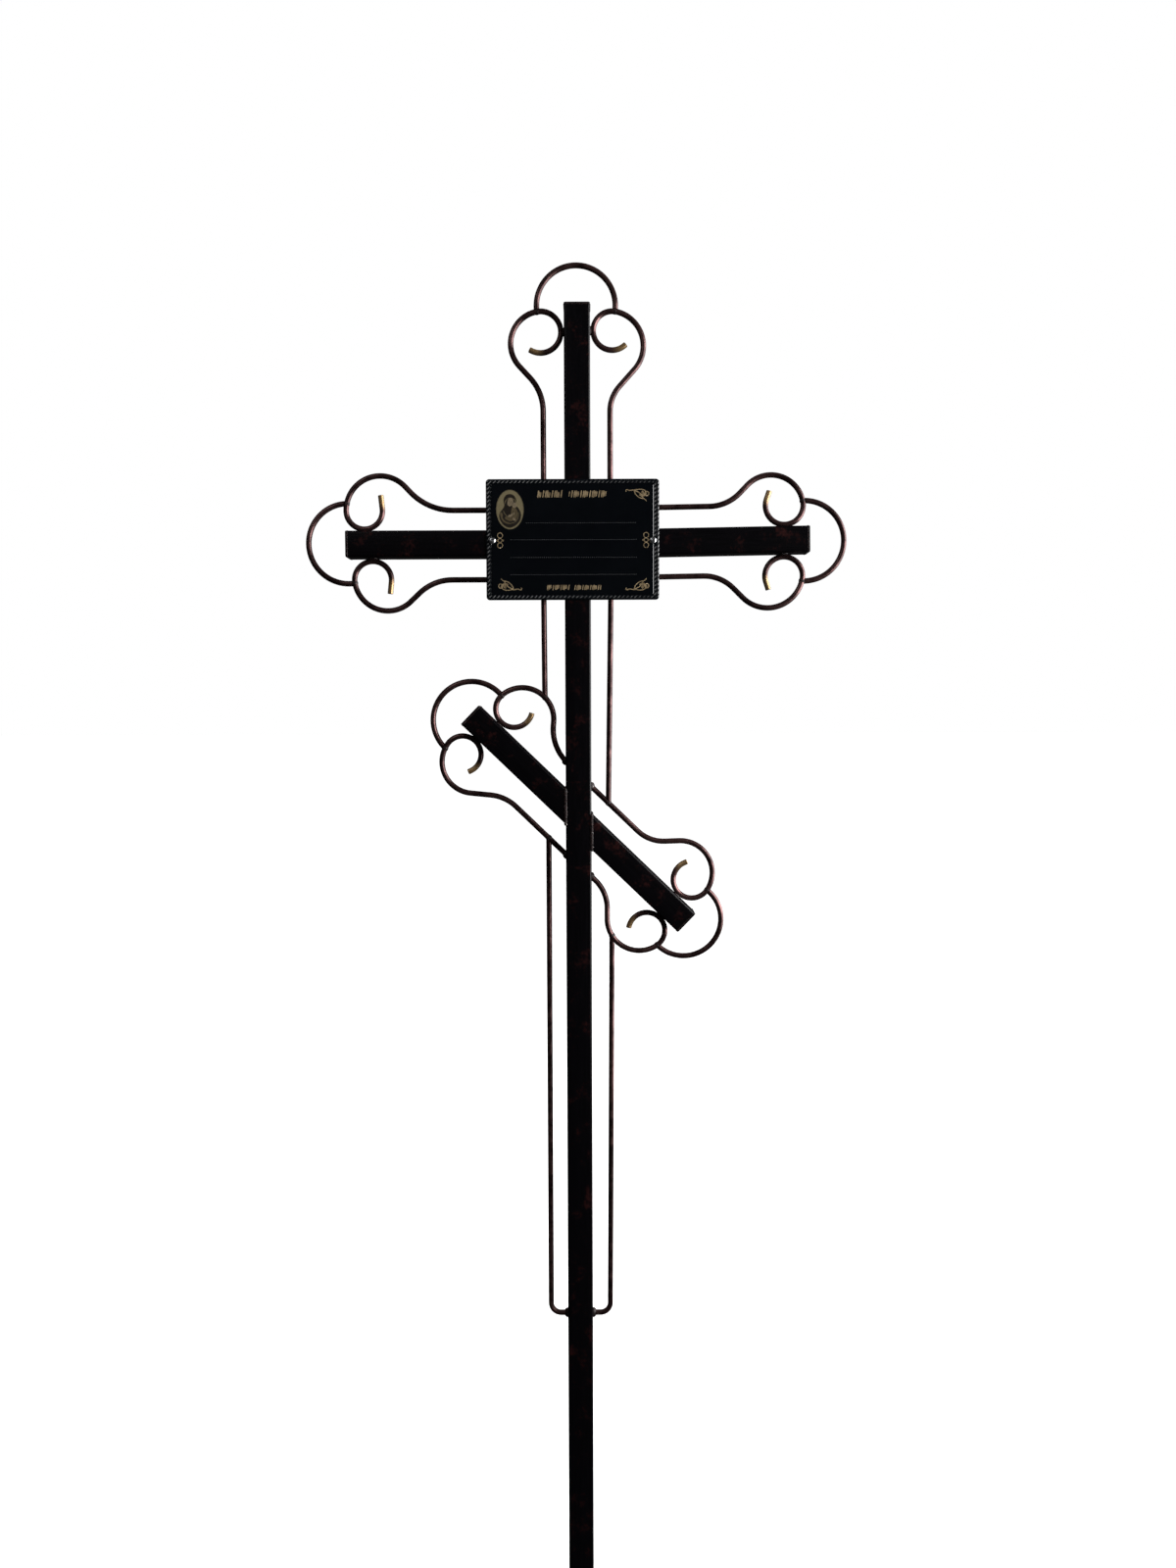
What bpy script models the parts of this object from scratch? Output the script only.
"""Wrought iron grave cross: square tube, scrolled round rod, a pressed name plate.

Metres, +Z up, the front of the cross faces -Y. The origin is the middle of the
post's foot, where the post goes into the ground.
"""
import math

import bmesh
import bpy
from mathutils import Vector

# ---------------------------------------------------------------- dimensions
GAP = 0.0003            # clearance between pieces that touch

TUBE = 0.030            # square tube, outer width
WALL = 0.002            # its wall
TUBE_CORNER = 0.0025    # outer corner radius of the tube
CAP = 0.002             # end plates

HEIGHT = 1.550          # post, ground to top
ABOVE_ARMS = 0.2714     # the post's top, above the cross arms' middle
ARM = 0.2676            # arm, post's axis to its end
ARM_TILT = 0.9          # the right arm was welded on a little high, degrees
SLANT_DROP = 0.3196     # the slanted bar crosses the post this far below the arms
SLANT = 0.1755          # half of it, from the post's axis to its end
SLANT_ANGLE = 44.0      # its slope, degrees
SLANT_STEP = 0.0005     # its two halves miss each other by twice this

ROD = 0.00325           # radius of the round rod, 6.5 mm wire rod
ROD_SIDES = 8
STEP = 12.6             # degrees of bend per straight facet
CORNER_BEND = 0.012     # inner bends, behind the plate and at the legs' feet

# the jig on which the scrolls were bent
RAIL = 0.039            # rails, from the arm's axis
OUT_BEND = 0.050        # radius of the outward bend
RUN = 0.014             # straight between that bend and the ring
RING = 0.038            # radius of the ring
CURL = 0.0215           # radius of the curl inside it
TIP = 0.010             # straight tip
SET_BACK = 0.0285       # the curl's middle, back from the arm's end
CROWN = 0.043           # crescents stand this far beyond the arm's end

LEG_DROP = 0.599        # the legs turn in this far below the slanted bar
LEG_OUT = 0.0372        # legs, from the post's axis

PLATE_WIDE, PLATE_HIGH = 0.1988, 0.1376
PLATE_SHIFT, PLATE_LIFT = -0.0057, 0.0034   # its middle, from where the arms cross
PLATE_THICK = 0.001
PLATE_CORNER = 0.004
BORDER = 0.0074         # width of the raised band round the plate
BORDER_RISE = 0.0008
BORDER_EDGE = 0.0011    # width of the band's sloping edges

RIVET_INSET, RIVET_LIFT = 0.0071, 0.0024    # from the plate's side, above the arms' middle
RIVET_HEAD, RIVET_DOME = 0.0040, 0.0020
RIVET_SHANK, RIVET_PLAY = 0.0020, 0.0004
RIVET_BULB, RIVET_TAIL = 0.0030, 0.0030
RIVET_BORE = 0.0010

HALF = TUBE / 2
FRONT = -HALF           # the tubes' front faces
ARMS_AT = HEIGHT - ABOVE_ARMS
SLANT_AT = ARMS_AT - SLANT_DROP
LEG_FOOT = SLANT_AT - LEG_DROP


# ---------------------------------------------------------------- arms
class Arm:
    """One arm of the cross: a root on the post's axis and a direction in XZ."""

    def __init__(self, root, degrees, reach):
        self.root = Vector((0.0, root))
        self.u = Vector((math.cos(math.radians(degrees)), math.sin(math.radians(degrees))))
        self.v = Vector((-self.u.y, self.u.x))
        self.reach = reach

    def at(self, along, across):
        return self.root + self.u * along + self.v * across


TOP = Arm(ARMS_AT, 90.0, ABOVE_ARMS)
LEFT = Arm(ARMS_AT, 180.0, ARM)
RIGHT = Arm(ARMS_AT, ARM_TILT, ARM)
UPPER = Arm(SLANT_AT + SLANT_STEP, 180.0 - SLANT_ANGLE, SLANT)
LOWER = Arm(SLANT_AT - SLANT_STEP, -SLANT_ANGLE, SLANT)

# ---------------------------------------------------------------- scrolls
# A scroll leaves its rail (offset from the arm's axis), bends outward, runs
# straight for a little, goes round the ring and then round the tighter curl,
# whose outside is welded to the arm's side. They were bent on one jig, by hand,
# so each departs a little from it. Lengths on a card are shares of the jig's,
# angles are degrees: turn is where the ring gives way to the curl, wrap is the
# length of the curl, seat is where the crescent stands on the scroll.
JIG = dict(back=1.0, rail=1.0, out=1.0, run=1.0, ring=1.0, curl=1.0, tip=1.0,
           turn=10.0, wrap=210.0, seat=10.0)


class Card:
    """Bend card of one scroll; side is +1 to the left of the arm's direction."""

    def __init__(self, arm, side, **own):
        share = dict(JIG, **own)
        self.arm, self.side = arm, side
        self.rail, self.out = RAIL * share["rail"], OUT_BEND * share["out"]
        self.run, self.tip = RUN * share["run"], TIP * share["tip"]
        self.ring, self.curl = RING * share["ring"], CURL * share["curl"]
        self.turn, self.wrap, self.seat = (math.radians(share[k]) for k in ("turn", "wrap", "seat"))
        # the curl touches the tube, and the ring touches the curl from outside
        self.mid = Vector((arm.reach - SET_BACK * share["back"], HALF + GAP + ROD + self.curl))
        self.hub = self.mid - spoke(self.turn) * (self.ring - self.curl)


def spoke(angle):
    return Vector((math.cos(angle), math.sin(angle)))


SCROLLS = {
    "top_left": Card(TOP, +1, back=1.03, rail=1.01, out=1.1, run=1.3, ring=0.97, curl=1.09,
                     wrap=218.0, tip=0.2),
    "top_right": Card(TOP, -1, back=0.98, rail=0.97, out=0.84, run=1.86, ring=1.04, curl=1.02,
                      turn=12.0, wrap=232.0, tip=0.2),
    "left_up": Card(LEFT, -1, back=0.7, rail=1.02, out=1.36, run=0.57, ring=1.05, curl=0.98,
                    turn=0.0, wrap=186.0, tip=1.55, seat=12.0),
    "left_low": Card(LEFT, +1, back=1.02, rail=1.03, out=1.12, ring=1.02,
                     wrap=196.0, tip=1.4),
    "right_up": Card(RIGHT, +1, back=0.95, rail=1.05, run=0.86, curl=1.02, seat=12.0),
    "right_low": Card(RIGHT, -1, out=0.96, run=1.14, ring=1.08, curl=1.02,
                      turn=13.0, seat=15.0),
    "upper_up": Card(UPPER, -1, back=1.12, rail=0.97, out=1.08, run=0.3, ring=0.97,
                     turn=7.0, wrap=213.0, tip=0.2, seat=5.0),
    "upper_low": Card(UPPER, +1, back=0.88, rail=1.06, run=1.7, ring=0.97,
                      turn=8.0, wrap=212.0, tip=0.2, seat=17.5),
    "lower_up": Card(LOWER, +1, back=1.03, rail=0.97, out=0.88, run=1.2, curl=1.02,
                     turn=13.0, wrap=217.0, tip=0.3, seat=11.0),
    "lower_low": Card(LOWER, -1, back=0.9, out=0.94, run=0.86,
                      turn=14.0, wrap=224.0, tip=0.2, seat=12.0),
}


def arc(centre, radius, start, turn):
    """Points of an arc, both ends included. Radians, turn > 0 is anticlockwise."""
    n = max(1, round(abs(math.degrees(turn)) / STEP))
    return [centre + spoke(start + turn * i / n) * radius for i in range(n + 1)]


def scroll(name, rail_from=TUBE):
    """Centre line of a scroll in XZ, from its rail to its tip."""
    c = SCROLLS[name]
    # the outward bend and the ring share a slanting tangent of length run
    spread = c.out + c.ring
    rise = c.hub.y - c.rail - c.out
    ahead = math.sqrt(c.run * c.run + spread * spread - rise * rise)
    heading = math.atan2(rise, ahead) + math.atan2(spread, c.run)
    elbow = Vector((c.hub.x - ahead, c.rail + c.out))
    quarter = math.pi / 2
    points = [Vector((rail_from, c.rail))] if rail_from < elbow.x else []
    points += arc(elbow, c.out, -quarter, heading)
    points += arc(c.hub, c.ring, heading + quarter, c.turn - heading - quarter)
    points += arc(c.mid, c.curl, c.turn, -c.wrap)[1:]
    points.append(points[-1] + spoke(c.turn - c.wrap - quarter) * c.tip)
    return [c.arm.at(p.x, p.y * c.side) for p in points]


def meet(p, d, q, e):
    """Crossing of the line through p along d with the line through q along e."""
    across = d.x * e.y - d.y * e.x
    return p + d * (((q - p).x * e.y - (q - p).y * e.x) / across)


def corner(a, b):
    """Round bend that joins two rails; a and b start at their rails."""
    d, e = (a[1] - a[0]).normalized(), (b[1] - b[0]).normalized()
    x = meet(a[0], d, b[0], e)
    bend = math.pi - math.acos(max(-1.0, min(1.0, d.dot(e))))
    back = CORNER_BEND * math.tan(bend / 2)
    start, end = x + d * back, x + e * back
    inward = (d + e).normalized()
    hub = x + inward * math.hypot(back, CORNER_BEND)
    first = math.atan2(start.y - hub.y, start.x - hub.x)
    last = math.atan2(end.y - hub.y, end.x - hub.x)
    turn = (last - first + math.pi) % (2 * math.pi) - math.pi
    return list(reversed(a[1:])) + arc(hub, CORNER_BEND, first, turn) + b[1:]


# ---------------------------------------------------------------- cuts
def crossing(path, other):
    """First place where a path crosses another: segment, point, other's direction."""
    for i in range(len(path) - 1):
        p, d = path[i], path[i + 1] - path[i]
        for j in range(len(other) - 1):
            q, e = other[j], other[j + 1] - other[j]
            area = d.x * e.y - d.y * e.x
            if abs(area) < 1e-12:
                continue
            s = ((q - p).x * e.y - (q - p).y * e.x) / area
            t = ((q - p).x * d.y - (q - p).y * d.x) / area
            if 0.0 <= s <= 1.0 and 0.0 <= t <= 1.0:
                return i, p + d * s, e.normalized()
    raise ValueError("the rods do not meet")


def cut_at(path, point, normal):
    """Shorten the end of a path at a plane in XZ; the normal looks back along the path."""
    for i in reversed(range(len(path) - 1)):
        a, b = (path[i] - point).dot(normal), (path[i + 1] - point).dot(normal)
        if a > 0.0 >= b:
            end = path[i] + (path[i + 1] - path[i]) * (a / (a - b))
            kept = path[:i + 1]
            while len(kept) > 1 and (kept[-1] - end).length < 2.0 * ROD:
                kept.pop()
            return kept + [end], (point, normal)
    raise ValueError("the path does not reach its cut")


def cut_on_rod(path, other):
    """Cut the end of a path to lie against another rod, welded on from this side."""
    i, point, along = crossing(path, other)
    normal = Vector((-along.y, along.x))
    if (path[i] - point).dot(normal) < 0.0:
        normal = -normal
    return cut_at(path[:i + 1] + [point], point + normal * (ROD + GAP), normal)


def seat(name):
    """Where a crescent stands on a scroll, on the scroll's centre line."""
    c = SCROLLS[name]
    beyond = c.hub + spoke(c.seat) * (c.ring * 2)
    inward = [c.arm.at(p.x, p.y * c.side) for p in (beyond, c.hub)]
    return crossing(inward, scroll(name))[1]


def crescent(crown, shift, first, second):
    """Circle through its crown and both seats, cut against the two scrolls."""
    arm = SCROLLS[first].arm
    top = arm.at(arm.reach + crown, shift)
    ends = [seat(first), seat(second)]
    chords = [end - top for end in ends]
    hub = meet(top + chords[0] / 2, Vector((-chords[0].y, chords[0].x)),
               top + chords[1] / 2, Vector((-chords[1].y, chords[1].x)))
    radius = (top - hub).length
    start = math.atan2(top.y - hub.y, top.x - hub.x)
    halves = []
    for end, other in zip(ends, (first, second)):
        turn = math.atan2(end.y - hub.y, end.x - hub.x) - start
        turn = (turn + math.pi) % (2 * math.pi) - math.pi
        past = math.copysign(ROD / radius, turn)
        halves.append(cut_on_rod(arc(hub, radius, start, turn + past), scroll(other)))
    (left, left_cut), (right, right_cut) = halves
    return list(reversed(left)) + right[1:], left_cut, right_cut


# ---------------------------------------------------------------- solids
def material(name, colour, metallic, roughness):
    m = bpy.data.materials.new(name)
    m.use_nodes = True
    shader = m.node_tree.nodes["Principled BSDF"]
    shader.inputs["Base Color"].default_value = (*colour, 1.0)
    shader.inputs["Metallic"].default_value = metallic
    shader.inputs["Roughness"].default_value = roughness
    m.diffuse_color = (*colour, 1.0)
    return m


def finish(bm, name, paint, smooth=False):
    """Turn a closed mesh into an object of its own."""
    bmesh.ops.recalc_face_normals(bm, faces=bm.faces)
    mesh = bpy.data.meshes.new(name)
    bm.to_mesh(mesh)
    bm.free()
    if smooth:
        mesh.shade_smooth()
        mesh.set_sharp_from_angle(angle=math.radians(40))
    mesh.materials.append(paint)
    thing = bpy.data.objects.new(name, mesh)
    bpy.context.scene.collection.objects.link(thing)
    return thing


def skin(bm, loops, closed=False):
    """Join a row of equal loops of vertices with faces."""
    rows = list(zip(loops, loops[1:])) + ([(loops[-1], loops[0])] if closed else [])
    for low, high in rows:
        for i in range(len(low)):
            j = (i + 1) % len(low)
            bm.faces.new((low[i], low[j], high[j], high[i]))


def rod(name, path, paint, start_cut=None, end_cut=None):
    """Round rod swept along a centre line in XZ, its ends flat or cut to a plane."""
    bm = bmesh.new()
    loops = []
    last = len(path) - 1
    for i, p in enumerate(path):
        before = (p - path[i - 1]).normalized() if i else None
        after = (path[i + 1] - p).normalized() if i < last else None
        along = ((before or after) + (after or before)).normalized()
        stretch = 1.0 / along.dot(before or after)
        side = Vector((-along.y, along.x))
        cut = start_cut if i == 0 else end_cut if i == last else None
        loop = []
        for k in range(ROD_SIDES):
            a = 2 * math.pi * k / ROD_SIDES
            q = p + side * (ROD * stretch * math.cos(a))
            if cut:
                q = q + along * ((cut[0] - q).dot(cut[1]) / along.dot(cut[1]))
            loop.append(bm.verts.new((q.x, ROD * math.sin(a), q.y)))
        loops.append(loop)
    skin(bm, loops)
    bm.faces.new(loops[0])
    bm.faces.new(loops[-1])
    return finish(bm, name, paint, smooth=True)


def rounded_square(half_wide, half_high, radius, n):
    """Outline of a rounded rectangle about the origin."""
    points = []
    for k, (sx, sy) in enumerate(((1, 1), (-1, 1), (-1, -1), (1, -1))):
        hub = Vector((sx * (half_wide - radius), sy * (half_high - radius)))
        points += [hub + Vector((math.cos(a), math.sin(a))) * radius
                   for a in (math.pi / 2 * (k + i / n) for i in range(n + 1))]
    return points


def tube(name, arm, paint, start, end, cut_x=None):
    """Square tube along an arm, from start to end; cut_x trims its start upright."""
    bm = bmesh.new()

    def ring(outline, far):
        loop = []
        for p in outline:
            along = far
            if far == start and cut_x is not None:
                along = (cut_x - arm.v.x * p.x) / arm.u.x
            q = arm.at(along, p.x)
            loop.append(bm.verts.new((q.x, p.y, q.y)))
        return loop

    outer = rounded_square(HALF, HALF, TUBE_CORNER, 3)
    inner = rounded_square(HALF - WALL, HALF - WALL, TUBE_CORNER - WALL, 3)
    skin(bm, [ring(outer, start), ring(outer, end), ring(inner, end), ring(inner, start)], closed=True)
    return finish(bm, name, paint)


def cap(name, arm, paint, start, end):
    """End plate of a tube, as wide as the tube."""
    bm = bmesh.new()
    outline = rounded_square(HALF, HALF, TUBE_CORNER, 3)
    loops = []
    for far in (start, end):
        loops.append([bm.verts.new((arm.at(far, p.x).x, p.y, arm.at(far, p.x).y)) for p in outline])
    skin(bm, loops)
    bm.faces.new(loops[0])
    bm.faces.new(loops[1])
    return finish(bm, name, paint)


def turned(name, profile, where, paint, sides=14):
    """Round piece turned about a front-to-back axis; profile is (radius, depth)."""
    bm = bmesh.new()
    loops = []
    for radius, depth in profile:
        loops.append([bm.verts.new((where.x + radius * math.cos(2 * math.pi * k / sides), depth,
                                    where.y + radius * math.sin(2 * math.pi * k / sides)))
                      for k in range(sides)])
    skin(bm, loops)
    bm.faces.new(loops[0])
    bm.faces.new(loops[-1])
    return finish(bm, name, paint, smooth=True)


def drill(target, hole):
    """Cut a hole with a cutter that is not part of the cross."""
    hole.hide_render = True
    hole.display_type = "WIRE"
    cut = target.modifiers.new(hole.name, "BOOLEAN")
    cut.operation = "DIFFERENCE"
    cut.solver = "EXACT"
    cut.object = hole


# ---------------------------------------------------------------- the cross
for thing in list(bpy.data.objects):
    bpy.data.objects.remove(thing, do_unlink=True)

black = material("tube_paint", (0.008, 0.006, 0.006), 0.1, 0.45)
patina = material("rod_paint", (0.075, 0.035, 0.032), 0.5, 0.38)
lacquer = material("plate_lacquer", (0.004, 0.006, 0.011), 0.2, 0.30)
bright = material("rivet_aluminium", (0.72, 0.73, 0.74), 1.0, 0.25)

# square tubes and their end plates
POST = Arm(0.0, 90.0, HEIGHT)
tube("post", POST, black, CAP + GAP, HEIGHT - CAP - GAP)
cap("post_foot", POST, black, 0.0, CAP)
cap("post_cap", POST, black, HEIGHT - CAP, HEIGHT)
arms = {}
for name, arm, face in (("left_arm", LEFT, -1), ("right_arm", RIGHT, 1),
                        ("slant_upper", UPPER, -1), ("slant_lower", LOWER, 1)):
    arms[name] = tube(name, arm, black, 0.0, arm.reach - CAP - GAP, cut_x=face * (HALF + GAP))
    cap(name + "_cap", arm, black, arm.reach - CAP, arm.reach)

# long rods: a scroll at each end, or a scroll and a straight run down to the slanted bar
rods = {"rod_top_left": (corner(scroll("top_left"), scroll("left_up")), None, None),
        "rod_top_right": (corner(scroll("top_right"), scroll("right_up")), None, None)}
for name, side, face, lean, other in (("rod_side_left", "left_low", -1, (1.02, 0.98), "upper_up"),
                                      ("rod_side_right", "right_low", 1, (0.98, 0.89), "lower_up")):
    down = [Vector((face * RAIL * lean[0], ARMS_AT - RAIL - TUBE)),
            Vector((face * RAIL * lean[1], SLANT_AT))]
    path, cut = cut_on_rod(corner(scroll(side), down), scroll(other, -2 * TUBE))
    rods[name] = (path, None, cut)

# the slanted bar's scrolls run in to the post's sides
for number, (name, face) in enumerate((("upper_up", -1), ("upper_low", -1),
                                       ("lower_up", 1), ("lower_low", 1)), 1):
    path = list(reversed(scroll(name, -2 * TUBE)))
    path, cut = cut_at(path, Vector((face * (HALF + GAP), 0.0)), Vector((face, 0.0)))
    rods["slant_rod_%d" % number] = (path, None, cut)

# legs: from under the slanted bar's rods down the post, then in to its sides
for name, face, lean, other in (("leg_left", -1, (0.95, 0.95), "upper_low"),
                                ("leg_right", 1, (1.07, 0.97), "lower_low")):
    down = [Vector((face * LEG_OUT * lean[1], LEG_FOOT + TUBE)),
            Vector((face * LEG_OUT * lean[0], SLANT_AT))]
    turn_in = [Vector((face * (HALF + ROD), LEG_FOOT)), Vector((face * (HALF + GAP), LEG_FOOT))]
    path = list(reversed(corner(down, turn_in)))
    path, cut = cut_on_rod(path, scroll(other, -2 * TUBE))
    rods[name] = (path, None, cut)

# crescents, from scroll to scroll round the arms' ends
for name, crown, shift, first, second in (
        ("crescent_top", 1.06, 0.03, "top_left", "top_right"),
        ("crescent_left", 1.05, -0.05, "left_low", "left_up"),
        ("crescent_right", 0.97, -0.02, "right_up", "right_low"),
        ("crescent_upper", 0.93, 0.09, "upper_low", "upper_up"),
        ("crescent_lower", 0.94, 0.01, "lower_up", "lower_low")):
    rods[name] = crescent(CROWN * crown, CROWN * shift, first, second)

for name, (path, start_cut, end_cut) in rods.items():
    rod(name, path, patina, start_cut, end_cut)

# name plate: a flat sheet with a raised band round its edge
bm = bmesh.new()
middle = Vector((PLATE_SHIFT, ARMS_AT + PLATE_LIFT))
back, field = FRONT - GAP, FRONT - GAP - PLATE_THICK
steps = ((0.0, back), (0.0, field), (BORDER_EDGE, field - BORDER_RISE),
         (BORDER - BORDER_EDGE, field - BORDER_RISE), (BORDER, field))
loops = []
for inset, depth in steps:
    outline = rounded_square(PLATE_WIDE / 2 - inset, PLATE_HIGH / 2 - inset,
                             max(BORDER_EDGE, PLATE_CORNER - inset), 4)
    loops.append([bm.verts.new((p.x + middle.x, depth, p.y + middle.y)) for p in outline])
skin(bm, loops)
bm.faces.new(loops[0])
bm.faces.new(loops[-1])
plate = finish(bm, "plate", lacquer)

# pop rivets: a domed head with the broken stem's bore, a shank, a bulb inside the tube
seat_at = field - BORDER_RISE - GAP
inside = FRONT + WALL + GAP
profile = [(RIVET_BORE, seat_at - RIVET_DOME * 0.45), (RIVET_BORE, seat_at - RIVET_DOME)]
profile += [(RIVET_BORE + (RIVET_HEAD - RIVET_BORE) * math.sin(a),
             seat_at - RIVET_DOME * (0.15 + 0.85 * math.cos(a))) for a in (0.45, 0.9, 1.3, math.pi / 2)]
profile += [(RIVET_HEAD, seat_at), (RIVET_SHANK, seat_at), (RIVET_SHANK, inside),
            (RIVET_BULB, inside + GAP), (RIVET_BULB, inside + RIVET_TAIL * 0.7),
            (RIVET_SHANK, inside + RIVET_TAIL)]
for name, face, arm in (("rivet_left", -1, arms["left_arm"]), ("rivet_right", 1, arms["right_arm"])):
    where = Vector((middle.x + face * (PLATE_WIDE / 2 - RIVET_INSET), ARMS_AT + RIVET_LIFT))
    turned(name, profile, where, bright)
    bore = RIVET_SHANK + RIVET_PLAY
    hole = turned("hole_" + name, [(bore, seat_at - RIVET_DOME), (bore, inside + WALL)], where, bright)
    drill(plate, hole)
    drill(arm, hole)
